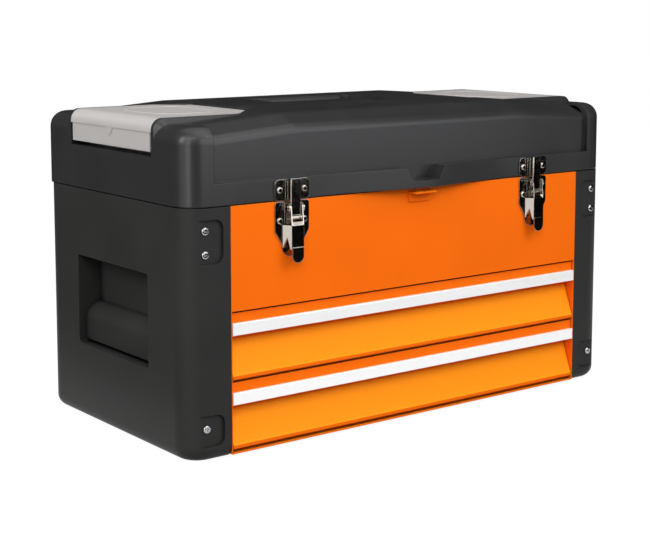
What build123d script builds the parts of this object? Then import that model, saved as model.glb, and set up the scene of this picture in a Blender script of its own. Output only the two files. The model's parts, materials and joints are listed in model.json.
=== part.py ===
"""Portable tool box with two drawers, a domed lid with two lidded bins and a folding handle.

Millimetres. +Z is up, the drawers face -Y. The origin is on the floor, under the middle of
the closed box with its latches and hinges. Depths named *_in are measured back from the
front face, and depths named *_out are measured forward of it.
"""
from build123d import *
import os

# ---------------------------------------------------------------- driving sizes
box_width = 525.0            # across the two plastic end panels
box_depth = 265.0            # front face to back face of the body
body_height = 226.0          # floor to the top edge of the body
lid_height = 77.0            # seam to the top of the raised platform

sheet = 0.8                  # steel sheet of the cabinet and the drawers
panel_wall = 4.0             # wall of the plastic end panels
lid_wall = 3.0               # wall of the plastic lid
rest_gap = 0.3               # between pieces of different bodies that rest on each other
running_gap = 0.05           # radial clearance of a pin in a hole

# end panels
panel_width = 45.3           # seen from the front
corner_radius = 24.0         # upright corners of the box, in plan
foot_radius = 12.0           # bottom outer edge of the end panels
foot_clearance = 2.8         # floor to the steel bottom
pad_depth = 2.6              # recess that holds the panel screws
pad_side = 37.7              # inner edge of the recess from the side face
pad_round = 8.0
upper_pad_low_drop = 49.5    # drops are measured down from the top edge of the body
upper_pad_high_drop = 10.5
lower_pad_low = 13.5
lower_pad_high = 42.0
screw_side = 20.0            # screw from the side face
upper_screw_drops = (41.0, 20.0)
lower_screw_height = 30.0
screw_radius = 2.0
screw_head_radius = 3.8
screw_head_height = 2.2
screw_head_round = 1.65
screw_cross = 4.2
screw_cross_width = 0.8
screw_cross_depth = 1.3
screw_length = 12.0
bracket_reach = 30.0         # leg of the steel corner brackets behind the pads
bracket_foot = 20.0          # leg of the brackets along the side wall

# hand holds in the end panels
hold_front_in = 67.0
hold_back_in = 198.3
hold_low = 74.6
hold_high = 161.2
hold_depth = 25.0
hold_corner = 3.0
hold_wall = 3.0
bulge_high = 113.0           # top of the rounded bulge in the lower half
bulge_below_face = 8.0
bulge_gap = 3.0
bulge_round = 16.5

# drawers
pan_lip = 1.5                # edge of the bottom seen under the lower drawer
drawer_pitch = 62.9          # height of one drawer front with its gap
drawer_gap = 1.8             # gap above each drawer front
drawer_side_gap = 0.8
lip_height = 6.0             # rounded lip at the foot of a drawer front
lip_round = 1.0              # the lip is blunt by this much
lip_slope = 1.5
foot_lift = 0.6              # foot of the sheet above the foot of the front
slope_top = 35.4             # height at which the sloping face ends
slope_in = 11.5              # how far back the sloping face goes
shelf_height = 41.4          # height of the ledge behind the pull strip
band_in = 2.5                # flat band at the top of the drawer front
front_return = 8.0           # folded edge at the foot of the drawer front
pull_height = 11.1
pull_thickness = 3.2
pull_edge = 0.8
pull_overlap = 0.3           # the strip reaches this far below the ledge
pull_side_gap = 0.5
slide_width = 13.0           # room for the slides on each side of a drawer
slide_height = 28.0
slide_lip = 7.8
slide_level = 31.0           # middle of the slides above the foot of the drawer
slide_gap = 1.0              # side play between rail and runner
slide_setback = 4.0          # slides end this far from the back panel
runner_short = 10.0          # runners are this much shorter than their rails
drawer_box_lift = 4.0
drawer_box_height = 50.0
drawer_back_gap = 10.0
front_rivet_count = 4
front_rivet_spacing = 110.0

# steel cabinet
hem = 8.0                    # folded top edge of the front and back panels
floor_ledge = 12.0           # folded lower edge of the front panel

# latches
latch_from_side = 110.5      # from the side of the box to the middle of a latch
latch_width = 37.7
latch_plate = 1.5
latch_plate_drop = 50.5      # foot of the base plate below the top of the body
latch_taper_drop = 27.0
latch_tip_drop = 39.5
latch_tip_width = 22.0
latch_tip_round = 8.5
latch_corner = 3.0
keeper_low_gap = 0.4
keeper_height = 19.0
keeper_corner = 4.0
keeper_hook_width = 7.6
keeper_hook_out = 5.6
keeper_hook_low = 3.0
keeper_hook_height = 13.0
keeper_hook_round = 1.2
guide_inner = 6.3            # half the space between the guides beside the hook
guide_out = 4.6
guide_inset = 1.2
ear_inner = 7.1              # half the space between the ears
ear_thickness = 1.2
ear_radius = 4.0
ear_wall_out = 5.0           # the ears run on down as low walls
ear_wall_drop = 20.0
weld_depth = 0.5             # raised features reach this far into their plates
lever_pivot_out = 5.5
lever_pivot_drop = 6.0       # below the top of the body
lever_outer = 6.8            # half width at its front
lever_flare = 11.2           # half width at its back
lever_wall = 1.0
lever_face_out = 10.4
lever_out = 11.0             # front of the finger tongue
lever_in = 2.2
lever_round = 3.7
lever_face_drop = 21.5       # top of the lever's front wall below the top of the body
lever_face_length = 21.5
lever_ledge_in = 1.9         # the top of the front wall leans back by this
lever_ledge_rise = 3.0
lever_notch_height = 11.0
tongue_length = 12.5
tongue_width = 12.6
tongue_lap = 1.5
claw_pivot_out = 6.5
claw_pivot_drop = 15.0
claw_outer = 5.4
claw_wall = 1.0
claw_out = 7.6
claw_in = 2.2
claw_above_seam = 20.0
claw_foot = 2.8
claw_round = 0.8
claw_front_lift = 1.0        # the front of the claw starts this far above its pivot
latch_pin_radius = 1.5
latch_pin_cap = 0.9
latch_pin_recess = 0.1
latch_rivet_offset = 13.6
latch_rivet_drop = 17.5
rivet_radius = 1.6
rivet_head_radius = 2.8
rivet_head_height = 1.2
rivet_head_round = 0.85
rivet_tail = 0.8
padlock_tab_width = 28.0
padlock_tab_out = 11.0
padlock_tab_drop = 3.0
padlock_tab_leg = 10.0
padlock_tab_corner = 3.0
padlock_hole_radius = 3.2

# lid
rim_height = 20.2            # band above the seam
seam_groove = 1.0            # height of the shadow groove along the foot of the lid
seam_groove_in = 1.3
lid_back_overhang = 4.0
dome_in = 5.3                # front of the dome behind the band
dome_slope_in = 30.0         # the top slopes down to the front and back over this
dome_slope_drop = 11.0
dome_edge_radius = 9.0
dome_top_radius = 30.0
post_width = 28.7            # end posts, seen from the front
post_drop = 6.6              # tops of the end posts below the platform
post_radius = 15.0
platform_from_side = 119.9   # from the side of the box to the level platform
bulge_from_latch = 34.0      # from the middle of a latch to the bulge in the front band
bulge_out = 12.5
scoop_top_half = 24.0
scoop_bottom_half = 16.0
scoop_floor = 7.5            # above the seam
lid_back_wall = 7.0

# bins and their covers
bin_front_in = 57.5
bin_back_in = 207.7
bin_floor_above_seam = 41.2
bin_chamfer = 22.0
bin_length = 125.2           # from the side of the box to the inner wall of the well
bin_straight = 9.0           # straight stretch of wall at the hinge
cover_gap = 0.5
cover_corner_gap = 2.6       # room for the slanted corners as the cover turns
cover_drop = 1.7             # top of the cover below the platform
cover_thickness = 2.0
cover_round = 11.0
cover_flange = 1.8           # straight stretch below the rounded edge
cover_barrel_radius = 2.2
cover_barrel_gap = 2.0
cover_pin_radius = 1.5
cover_pin_length = 3.0
tab_half = 6.0
tab_height = 8.0
tab_thickness = 1.4
tab_lap = 0.5
tab_inset = 0.1
tray_wall = 2.2
tray_floor = 2.0
tray_lift = 4.0              # the tray stands on a foot that is set back
tray_foot_in = 16.0
tray_side_gap = 3.0          # round the walls of the tray
tray_hinge_gap = 2.5
rib_width = 10.0             # raised rib beside each cover
rib_chamfer = 6.0

# carry handle
handle_well_half = 66.0
handle_well_front_in = 112.0
handle_well_back_in = 198.0
handle_well_depth = 21.5
handle_well_corner = 5.0
well_round = 4.5             # rounding of the back edge of the recess, for the fingers
well_round_half = 56.0
handle_side_gap = 1.0        # between the arms and the ends of the recess
handle_bar_front_in = 146.0
handle_bar_width = 28.0
handle_bar_height = 14.0
handle_below_platform = 2.4
handle_arm = 10.0
handle_arm_height = 12.5
handle_pivot_in = 122.0
handle_web = 4.0             # thin plate between the arms
handle_web_front = 5.0       # the plate starts this far in front of the pivots
handle_pivot_radius = 2.5
handle_pin_length = 10.0
handle_round = 4.0
scallop_count = 5
scallop_pitch = 18.0
scallop_radius = 11.0
scallop_depth = 3.5

# lid hinges
hinge_from_side = 112.5      # from the side of the box to the middle of a hinge
hinge_width = 60.0
hinge_leaf = 1.5
hinge_body_leaf_height = 28.0
hinge_lid_leaf_height = 26.0
knuckle_radius = 3.5
knuckle_middle = 22.0
knuckle_gap = 0.5
hinge_pin_radius = 1.75
hinge_pocket_gap = 1.0
hinge_rivet_spacing = 40.0
hinge_rivet_share = 0.6      # height of the rivets as a share of their leaf
cut_over = 1.0               # cutters run past the faces that they cut

# ---------------------------------------------------------------- places worked out
front_reach = max(lever_out, bulge_out)
hinge_reach = rest_gap + 2 * knuckle_radius
front_y = front_reach - (front_reach + box_depth + hinge_reach) / 2
back_y = front_y + box_depth
half_width = box_width / 2
latch_offset = half_width - latch_from_side
hinge_offset = half_width - hinge_from_side
platform_half = half_width - platform_from_side
post_inner = half_width - post_width
bulge_half = latch_offset - bulge_from_latch
bin_inner = half_width - bin_length
opening_half = half_width - panel_width          # outer face of the steel side walls
inner_half = opening_half - sheet                # inner face of the steel side walls
drawer_front_half = inner_half - drawer_side_gap
drawer_box_half = inner_half - slide_width
seam = body_height + rest_gap
platform_z = seam + lid_height - rest_gap
lower_foot = foot_clearance + pan_lip + drawer_gap
drawer_feet = {"upper": lower_foot + drawer_pitch, "lower": lower_foot}
front_panel_low = lower_foot + 2 * drawer_pitch
floor_z = front_panel_low + sheet
hinge_y = back_y + rest_gap + knuckle_radius
rim_top = seam + rim_height
post_top = platform_z - post_drop
lid_back_y = back_y + lid_back_overhang
cover_top = platform_z - cover_drop
cover_axis_x = bin_inner + cover_barrel_gap + cover_barrel_radius
cover_axis_z = cover_top - cover_barrel_radius
well_floor = seam + bin_floor_above_seam
lever_pivot_z = body_height - lever_pivot_drop
claw_pivot_z = body_height - claw_pivot_drop
handle_top = platform_z - handle_below_platform
handle_length = 2 * (handle_well_half - handle_side_gap)
handle_pivot_z = handle_top - handle_arm_height / 2
pad_thickness = panel_wall
upper_pad_low = body_height - upper_pad_low_drop
upper_pad_high = body_height - upper_pad_high_drop
upper_screw_heights = [body_height - drop for drop in upper_screw_drops]
latch_plate_low = body_height - latch_plate_drop
bracket_in = pad_depth + pad_thickness
drawer_wall_in = slope_in + sheet
slide_front_in = drawer_wall_in + sheet
slide_back_y = back_y - sheet - slide_setback
body_leaf_rivet_z = body_height - hinge_body_leaf_height * hinge_rivet_share
lid_leaf_rivet_z = seam + hinge_lid_leaf_height * hinge_rivet_share
claw_top = seam + claw_above_seam
lever_face_top = body_height - lever_face_drop
lever_face_foot = lever_face_top - lever_face_length


# ---------------------------------------------------------------- helpers
def block(x0, x1, y0, y1, z0, z1):
    """A box between two corners."""
    centre = Pos((x0 + x1) / 2, (y0 + y1) / 2, (z0 + z1) / 2)
    return centre * Box(x1 - x0, y1 - y0, z1 - z0)


def rod_x(radius, x0, x1, y, z):
    """A round rod along X."""
    return Pos((x0 + x1) / 2, y, z) * Rot(0, 90, 0) * Cylinder(radius, x1 - x0)


def rod_y(radius, y0, y1, x, z):
    """A round rod along Y."""
    return Pos(x, (y0 + y1) / 2, z) * Rot(90, 0, 0) * Cylinder(radius, y1 - y0)


def prism_x(points, x0, x1):
    """A prism along X from an outline of (y, z) points."""
    plane = Plane(origin=(x0, 0, 0), x_dir=(0, 1, 0), z_dir=(1, 0, 0))
    return extrude(plane * make_face(Polyline(*points, close=True)), amount=x1 - x0)


def prism_z(points, z0, z1):
    """A prism along Z from an outline of (x, y) points."""
    return extrude(Pos(0, 0, z0) * make_face(Polyline(*points, close=True)), amount=z1 - z0)


def offset_points(points, distance):
    """The same open outline moved sideways by a distance, with its corners mitred."""
    moved = []
    for i, point in enumerate(points):
        here = Vector(*point)
        before = here - Vector(*points[i - 1]) if i else None
        after = Vector(*points[i + 1]) - here if i + 1 < len(points) else None
        first = (before or after).normalized()
        second = (after or before).normalized()
        normal = Vector(-(first.Y + second.Y), first.X + second.X)
        across = Vector(-first.Y, first.X)
        scale = distance / normal.dot(across)
        moved.append((here.X + normal.X * scale, here.Y + normal.Y * scale))
    return moved


def folded_sheet(points, thickness):
    """The closed outline of a sheet folded along an open outline."""
    return list(points) + offset_points(points, thickness)[::-1]


def mirrored(shape):
    """The same piece on the other side of the box."""
    return mirror(shape, about=Plane.YZ)


def on_both_sides(shape):
    """A piece and its mirror image as one group."""
    return Compound(children=[*shape.solids(), *mirrored(shape).solids()])


def group(shapes):
    """Separate solids kept together in one file."""
    return Compound(children=[solid for shape in shapes for solid in shape.solids()])


def rivet(x, y, z, facing, grip):
    """A domed rivet whose head looks along facing, -1 to the front or 1 to the back."""
    head = Cylinder(rivet_head_radius, rivet_head_height, align=(Align.CENTER, Align.CENTER, Align.MIN))
    head = fillet(head.edges().group_by(Axis.Z)[-1], rivet_head_round)
    shank = Cylinder(rivet_radius, grip, align=(Align.CENTER, Align.CENTER, Align.MAX))
    tail = Cylinder(
        rivet_radius + rivet_tail, rivet_tail, align=(Align.CENTER, Align.CENTER, Align.MAX)
    )
    turn = Rot(90, 0, 0) if facing < 0 else Rot(-90, 0, 0)
    return Pos(x, y, z) * turn * (head + shank + Pos(0, 0, -grip) * tail)


def hole_y(radius, x, z):
    """A cutter along Y through the whole box."""
    return rod_y(radius, front_y - box_depth, back_y + box_depth, x, z)


# ---------------------------------------------------------------- end panels
def panel_form(inset):
    """The outer shape of the right end panel, or the same shape shrunk by an inset."""
    body = block(
        opening_half - inset,
        half_width - inset,
        front_y + inset,
        back_y - inset,
        inset,
        body_height - inset,
    )
    uprights = body.edges().filter_by(Axis.Z).group_by(Axis.X)[-1]
    body = fillet(uprights, corner_radius - inset)
    low = body.edges().filter_by(lambda e: e.center().Z < inset + rest_gap)
    low = low.filter_by(lambda e: e.center().X > opening_half - inset + rest_gap)
    return fillet(low, foot_radius - inset)


def screw_places():
    """(x, z) of the panel screws at one front corner."""
    x = half_width - screw_side
    return [(x, z) for z in (*upper_screw_heights, lower_screw_height)]


def pad_cut(low, high):
    """The recess around one group of panel screws, open to the rounded corner."""
    cut = block(
        half_width - pad_side,
        half_width + cut_over,
        front_y - cut_over,
        front_y + pad_depth,
        low,
        high,
    )
    edges = cut.edges().filter_by(Axis.Y).group_by(Axis.X)[0]
    return fillet(edges, pad_round)


def pad_back(low, high):
    """The thickened plastic behind one recess."""
    rim = panel_wall
    return block(
        half_width - pad_side - rim,
        half_width,
        front_y,
        front_y + pad_depth + pad_thickness,
        low - rim,
        high + rim,
    )


def hold_block(grow, depth, top):
    """The space of the hand hold, or a larger block round it."""
    return block(
        half_width - depth - grow,
        half_width + cut_over,
        front_y + hold_front_in - grow,
        front_y + hold_back_in + grow,
        hold_low - grow,
        top + grow,
    )


def hold_bulge():
    """The rounded bulge that fills the lower half of the hand hold."""
    bulge = block(
        half_width - hold_depth - hold_wall,
        half_width - bulge_below_face,
        front_y + hold_front_in - hold_wall,
        front_y + hold_back_in + hold_wall,
        hold_low + bulge_gap,
        bulge_high,
    )
    top = bulge.edges().filter_by(Axis.Y).group_by(Axis.Z)[-1].sort_by(Axis.X)[-1]
    return fillet(top, bulge_round)


def end_panel():
    """The right end panel, a hollow moulding that is open towards the cabinet."""
    pads = [(upper_pad_low, upper_pad_high), (lower_pad_low, lower_pad_high)]
    hollow = panel_form(panel_wall)
    hollow -= hold_block(hold_wall, hold_depth, hold_high)
    front_backs = [pad_back(low, high) for low, high in pads]
    for back in front_backs:
        hollow -= back
        hollow -= mirror(back, about=Plane(origin=(0, (front_y + back_y) / 2, 0), z_dir=(0, 1, 0)))
    panel = panel_form(0.0) - hollow
    pocket = hold_block(0.0, hold_depth, hold_high)
    pocket = fillet(pocket.edges().filter_by(Axis.X), hold_corner)
    panel -= pocket
    panel += hold_bulge()
    middle = Plane(origin=(0, (front_y + back_y) / 2, 0), z_dir=(0, 1, 0))
    for low, high in pads:
        cut = pad_cut(low, high)
        panel -= cut
        panel -= mirror(cut, about=middle)
    for x, z in screw_places():
        panel -= hole_y(screw_radius + running_gap, x, z)
    return panel


def panel_screw(x, z):
    """A cross-head screw through a pad and the bracket behind it."""
    head = Cylinder(
        screw_head_radius, screw_head_height, align=(Align.CENTER, Align.CENTER, Align.MIN)
    )
    head = fillet(head.edges().group_by(Axis.Z)[-1], screw_head_round)
    for turn in (0, 90):
        cross = Box(screw_cross, screw_cross_width, 2 * screw_cross_depth)
        head -= Pos(0, 0, screw_head_height) * Rot(0, 0, turn) * cross
    shank = Cylinder(screw_radius, screw_length, align=(Align.CENTER, Align.CENTER, Align.MAX))
    return Pos(x, front_y + pad_depth, z) * Rot(90, 0, 0) * (head + shank)


def corner_bracket():
    """The steel angle behind the front pads of the right end panel."""
    y = front_y + bracket_in
    low = foot_radius
    high = body_height - 2 * panel_wall
    leg = block(opening_half, opening_half + bracket_reach, y, y + sheet, low, high)
    foot = block(opening_half, opening_half + sheet, y, y + bracket_foot, low, high)
    bracket = leg + foot
    for x, z in screw_places():
        bracket -= hole_y(screw_radius + running_gap, x, z)
    return bracket


def at_both_ends(shape):
    """Copies of a front right piece at the four corners of the box."""
    middle = Plane(origin=(0, (front_y + back_y) / 2, 0), z_dir=(0, 1, 0))
    back = mirror(shape, about=middle)
    return group([shape, back, mirrored(shape), mirrored(back)])


# ---------------------------------------------------------------- steel cabinet
def side_wall():
    """The right steel side wall, whose inner face shows beside the drawer fronts."""
    return block(inner_half, opening_half, front_y, back_y, foot_clearance, body_height)


def latch_rivet_places():
    """(x, z) of the rivets in the two latch base plates."""
    z = body_height - latch_rivet_drop
    return [
        (side * latch_offset + hand * latch_rivet_offset, z) for side in (-1, 1) for hand in (-1, 1)
    ]


def front_panel():
    """The steel panel above the drawers, with a hem at its top and a ledge at its foot."""
    outline = [
        (front_y + hem, body_height),
        (front_y, body_height),
        (front_y, front_panel_low),
        (front_y + floor_ledge, front_panel_low),
    ]
    panel = prism_x(folded_sheet(outline, sheet), -inner_half, inner_half)
    for x, z in latch_rivet_places():
        panel -= hole_y(rivet_radius + running_gap, x, z) & block(
            -half_width, half_width, front_y - cut_over, front_y + hem, foot_clearance, body_height
        )
    return panel


def hinge_rivet_places(z):
    """(x, z) of the rivets in one row of hinge leaves."""
    half = hinge_rivet_spacing / 2
    return [(side * hinge_offset + hand * half, z) for side in (-1, 1) for hand in (-1, 1)]


def back_panel():
    """The steel back panel, with a hem at its top."""
    outline = [
        (back_y - floor_ledge, foot_clearance),
        (back_y, foot_clearance),
        (back_y, body_height),
        (back_y - hem, body_height),
    ]
    panel = prism_x(folded_sheet(outline, sheet), -inner_half, inner_half)
    for x, z in hinge_rivet_places(body_leaf_rivet_z):
        panel -= rod_y(rivet_radius + running_gap, back_y - hem, back_y + cut_over, x, z)
    return panel


def bottom_pan():
    """The steel bottom under the lower drawer, with a folded edge at its front."""
    back = back_y - floor_ledge
    low = foot_clearance
    pan = block(-inner_half, inner_half, front_y, back, low, low + sheet)
    return pan + block(-inner_half, inner_half, front_y, front_y + sheet, low, low + pan_lip)


def compartment_floor():
    """The steel floor of the upper compartment, which lies on the front panel's ledge."""
    return block(
        -inner_half, inner_half, front_y + sheet, back_y - sheet, floor_z, floor_z + sheet
    )


def slide_rail(foot):
    """The fixed right-hand rail of one drawer, a channel that opens inwards."""
    middle = foot + slide_level
    low = middle - slide_height / 2
    high = middle + slide_height / 2
    y0 = front_y + slide_front_in
    web = block(inner_half - sheet, inner_half, y0, slide_back_y, low, high)
    inner = inner_half - sheet - slide_lip
    floor = block(inner, inner_half, y0, slide_back_y, low, low + sheet)
    roof = block(inner, inner_half, y0, slide_back_y, high - sheet, high)
    return web + floor + roof


def slide_runner(foot):
    """The right-hand runner on a drawer, a channel that nests in the rail."""
    middle = foot + slide_level
    low = middle - slide_height / 2 + sheet + rest_gap
    high = middle + slide_height / 2 - sheet - rest_gap
    y0 = front_y + slide_front_in
    y1 = slide_back_y - runner_short
    outer = inner_half - sheet - slide_gap
    web = block(drawer_box_half, drawer_box_half + sheet, y0, y1, low, high)
    floor = block(drawer_box_half, outer, y0, y1, low, low + sheet)
    roof = block(drawer_box_half, outer, y0, y1, high - sheet, high)
    return web + floor + roof


# ---------------------------------------------------------------- drawers
def front_rivets(foot):
    """(x, z) of the rivets that hold a drawer front to its box."""
    z = foot + (slope_top + shelf_height) / 2
    middle = (front_rivet_count - 1) / 2
    return [((n - middle) * front_rivet_spacing, z) for n in range(front_rivet_count)]


def drawer_box(foot):
    """The open steel tray of a drawer."""
    low = foot + drawer_box_lift
    high = low + drawer_box_height
    y0 = front_y + drawer_wall_in
    y1 = back_y - sheet - drawer_back_gap
    tray = block(-drawer_box_half, drawer_box_half, y0, y1, low, high)
    inside = block(
        sheet - drawer_box_half,
        drawer_box_half - sheet,
        y0 + sheet,
        y1 - sheet,
        low + sheet,
        high + cut_over,
    )
    tray -= inside
    for x, z in front_rivets(foot):
        tray -= rod_y(rivet_radius + running_gap, y0 - cut_over, y0 + 2 * sheet, x, z)
    return tray


def drawer_front(foot):
    """The folded steel front of a drawer: lip, sloping face, ledge and top band."""
    top = foot + drawer_pitch - drawer_gap
    outline = [
        (front_y + slope_in, top),
        (front_y + band_in, top),
        (front_y + band_in, foot + shelf_height),
        (front_y + slope_in, foot + shelf_height),
        (front_y + slope_in, foot + slope_top),
        (front_y + lip_round, foot + lip_height),
        (front_y, foot + lip_height - lip_slope),
        (front_y, foot + foot_lift + lip_round),
        (front_y + lip_round, foot + foot_lift),
        (front_y + front_return, foot + foot_lift),
    ]
    face = prism_x(folded_sheet(outline, sheet), -drawer_front_half, drawer_front_half)
    for x, z in front_rivets(foot):
        y0 = front_y + slope_in - cut_over
        y1 = front_y + drawer_wall_in + cut_over
        face -= rod_y(rivet_radius + running_gap, y0, y1, x, z)
    return face


def pull_strip(foot):
    """The bright aluminium strip across the drawer front."""
    low = foot + shelf_height - pull_overlap
    half = inner_half - pull_side_gap
    strip = block(
        -half,
        half,
        front_y + band_in - pull_thickness,
        front_y + band_in,
        low,
        low + pull_height,
    )
    front = strip.faces().sort_by(Axis.Y)[0].edges().filter_by(Axis.X)
    return fillet(front, pull_edge)


def drawer_rivets(foot):
    """The rivets between a drawer front and its box."""
    y = front_y + slope_in
    return group([rivet(x, y, z, -1, 2 * sheet) for x, z in front_rivets(foot)])


# ---------------------------------------------------------------- latches
def latch_y(out):
    """The place of a point that stands out from the front face."""
    return front_y - out


def plate_outline(offset):
    """The tapered outline of a latch base plate, wide at the top, (x, z) points."""
    half = latch_width / 2
    tip = latch_tip_width / 2
    return [
        (offset - half, body_height - rest_gap),
        (offset - half, body_height - latch_taper_drop),
        (offset - tip, body_height - latch_tip_drop),
        (offset - tip, latch_plate_low),
        (offset + tip, latch_plate_low),
        (offset + tip, body_height - latch_tip_drop),
        (offset + half, body_height - latch_taper_drop),
        (offset + half, body_height - rest_gap),
    ]


def plate_plane(out):
    """An upright plane in front of the box, whose normal looks forward."""
    return Plane(origin=(0, latch_y(out), 0), x_dir=(1, 0, 0), z_dir=(0, -1, 0))


def latch_ear(low, high):
    """One ear of a latch base, between two places along X."""
    y = latch_y(lever_pivot_out)
    foot = latch_y(weld_depth)
    top = lever_pivot_z + ear_radius
    root = block(low, high, y, foot, lever_pivot_z - ear_radius, top)
    wall = block(low, high, latch_y(ear_wall_out), foot, body_height - ear_wall_drop, top)
    return root + wall + rod_x(ear_radius, low, high, y, lever_pivot_z)


def latch_base(side):
    """A latch base plate with the two ears that carry the lever."""
    offset = side * latch_offset
    face = plate_plane(0) * make_face(Polyline(*plate_outline(offset), close=True))
    plate = extrude(face, amount=latch_plate)
    rows = plate.edges().filter_by(Axis.Y).group_by(Axis.Z)
    plate = fillet([edge for row in rows[1:] for edge in row], latch_corner)
    foot = plate.edges().filter_by(Axis.Y).group_by(Axis.Z)[0]
    plate = fillet(foot, latch_tip_round)
    for hand in (-1, 1):
        low, high = sorted((offset + hand * ear_inner, offset + hand * (ear_inner + ear_thickness)))
        plate += latch_ear(low, high)
    plate -= rod_x(
        latch_pin_radius + running_gap,
        offset - latch_width,
        offset + latch_width,
        latch_y(lever_pivot_out),
        lever_pivot_z,
    )
    for x, z in latch_rivet_places():
        if x * side > 0:
            plate -= rod_y(rivet_radius + running_gap, latch_y(latch_plate + cut_over), front_y, x, z)
    return plate


def lever_cheeks(offset):
    """The two upright cheeks of a lever, filled, from its pivot to its front wall."""
    outline = [
        (latch_y(lever_pivot_out + lever_round), lever_pivot_z),
        (latch_y(lever_face_out), lever_face_top),
        (latch_y(lever_in), lever_face_top),
        (latch_y(lever_pivot_out - lever_round), lever_pivot_z),
    ]
    low, high = offset - lever_outer, offset + lever_outer
    y = latch_y(lever_pivot_out)
    return prism_x(outline, low, high) + rod_x(lever_round, low, high, y, lever_pivot_z)


def lever_trough(offset, inset):
    """The splayed lower part of a lever, filled, or the space inside it."""
    back = latch_y(lever_in) + inset
    front = latch_y(lever_face_out) + inset
    outline = [
        (offset - lever_flare + inset, back),
        (offset - lever_outer + inset, front),
        (offset + lever_outer - inset, front),
        (offset + lever_flare - inset, back),
    ]
    return prism_z(outline, lever_face_foot - inset, lever_face_top + inset)


def lever_notch(offset):
    """The cutter for the pointed notches in the foot of both cheeks."""
    front = latch_y(lever_face_out - lever_wall)
    back = latch_y(lever_in) + cut_over
    middle = (latch_y(lever_face_out) + latch_y(lever_in)) / 2
    outline = [
        (front, lever_face_foot - cut_over),
        (middle, lever_face_foot + lever_notch_height),
        (back, lever_face_foot - cut_over),
    ]
    return prism_x(outline, offset - latch_width, offset + latch_width)


def lever_ledge(offset):
    """The top of the front wall, which leans back."""
    inner = lever_outer - lever_wall / 2
    outline = [
        (latch_y(lever_face_out), lever_face_top - lever_wall),
        (latch_y(lever_face_out), lever_face_top),
        (latch_y(lever_face_out - lever_ledge_in), lever_face_top + lever_ledge_rise),
    ]
    return prism_x(folded_sheet(outline, -lever_wall), offset - inner, offset + inner)


def lever_tongue(offset):
    """The finger tongue, which ends in a half circle."""
    half = tongue_width / 2
    top = lever_face_foot + tongue_lap
    middle = lever_face_foot - tongue_length + half
    left, right = offset - half, offset + half
    outline = [(left, middle), (right, middle), (right, top), (left, top)]
    face = make_face(Polyline(*outline, close=True)) + Pos(offset, middle) * Circle(half)
    return extrude(plate_plane(lever_out - lever_wall) * face, amount=lever_wall)


def latch_lever(side):
    """The lever of a draw latch: two cheeks, a front wall and a finger tongue."""
    offset = side * latch_offset
    inner = lever_outer - lever_wall
    above = lever_pivot_z + lever_round + cut_over
    lever = lever_cheeks(offset)
    lever -= block(
        offset - inner, offset + inner, latch_y(lever_out), front_y, lever_face_top - cut_over, above
    )
    trough = lever_trough(offset, 0.0) - lever_trough(offset, lever_wall) - lever_notch(offset)
    lever = lever + trough + lever_ledge(offset) + lever_tongue(offset)
    places = ((lever_pivot_out, lever_pivot_z), (claw_pivot_out, claw_pivot_z))
    for out, z in places:
        lever -= rod_x(
            latch_pin_radius + running_gap, offset - latch_width, offset + latch_width, latch_y(out), z
        )
    return lever


def lever_pins(side):
    """The two short pins that hold a lever in its ears."""
    offset = side * latch_offset
    y = latch_y(lever_pivot_out)
    pins = []
    for hand in (-1, 1):
        x0 = offset + hand * (lever_outer - lever_wall + latch_pin_recess)
        x1 = offset + hand * (ear_inner + ear_thickness)
        low, high = sorted((x0, x1))
        pin = rod_x(latch_pin_radius, low, high, y, lever_pivot_z)
        low, high = sorted((x1, x1 + hand * latch_pin_cap))
        pins.append(pin + rod_x(latch_pin_radius + latch_pin_cap, low, high, y, lever_pivot_z))
    return group(pins)


def claw_pin(side):
    """The pin that joins a claw to its lever."""
    offset = side * latch_offset
    y = latch_y(claw_pivot_out)
    return rod_x(latch_pin_radius, offset - lever_outer, offset + lever_outer, y, claw_pivot_z)


def latch_claw(side):
    """The claw of a draw latch, a channel that reaches up in front of the keeper."""
    offset = side * latch_offset
    low, high = offset - claw_outer, offset + claw_outer
    y = latch_y(claw_pivot_out)
    below = claw_pivot_z - 2 * claw_foot
    claw = block(low, high, latch_y(claw_out), latch_y(claw_in), claw_pivot_z, claw_top)
    claw = fillet(claw.edges().filter_by(Axis.Z).group_by(Axis.Y)[0], claw_round)
    claw += rod_x(claw_foot, low, high, y, claw_pivot_z)
    low, high = low + claw_wall, high - claw_wall
    claw -= block(low, high, latch_y(claw_out - claw_wall), front_y, below, claw_top + cut_over)
    open_to = claw_pivot_z + claw_front_lift
    claw -= block(low, high, latch_y(claw_pivot_out + 2 * claw_foot), front_y, below, open_to)
    low, high = offset - latch_width, offset + latch_width
    return claw - rod_x(latch_pin_radius + running_gap, low, high, y, claw_pivot_z)


def keeper_rivet_z():
    """The height of the rivets in the keepers."""
    return seam + keeper_low_gap + keeper_height / 2


def keeper(side):
    """The keeper plate on the lid, with the raised hook for the claw and a guide on each side."""
    offset = side * latch_offset
    half = latch_width / 2
    low = seam + keeper_low_gap
    plate = block(offset - half, offset + half, latch_y(latch_plate), front_y, low, low + keeper_height)
    plate = fillet(plate.edges().filter_by(Axis.Y), keeper_corner)
    foot = latch_y(weld_depth)
    hook_half = keeper_hook_width / 2
    hook_low = low + keeper_hook_low
    hook = block(
        offset - hook_half,
        offset + hook_half,
        latch_y(keeper_hook_out),
        foot,
        hook_low,
        hook_low + keeper_hook_height,
    )
    plate += fillet(hook.faces().sort_by(Axis.Y)[0].edges(), keeper_hook_round)
    guide_top = low + keeper_height - guide_inset
    for hand in (-1, 1):
        x0, x1 = sorted((offset + hand * guide_inner, offset + hand * (guide_inner + ear_thickness)))
        plate += block(x0, x1, latch_y(guide_out), foot, low + guide_inset, guide_top)
        x = offset + hand * latch_rivet_offset
        y0 = latch_y(latch_plate + cut_over)
        plate -= rod_y(rivet_radius + running_gap, y0, front_y + cut_over, x, keeper_rivet_z())
    return plate


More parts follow.
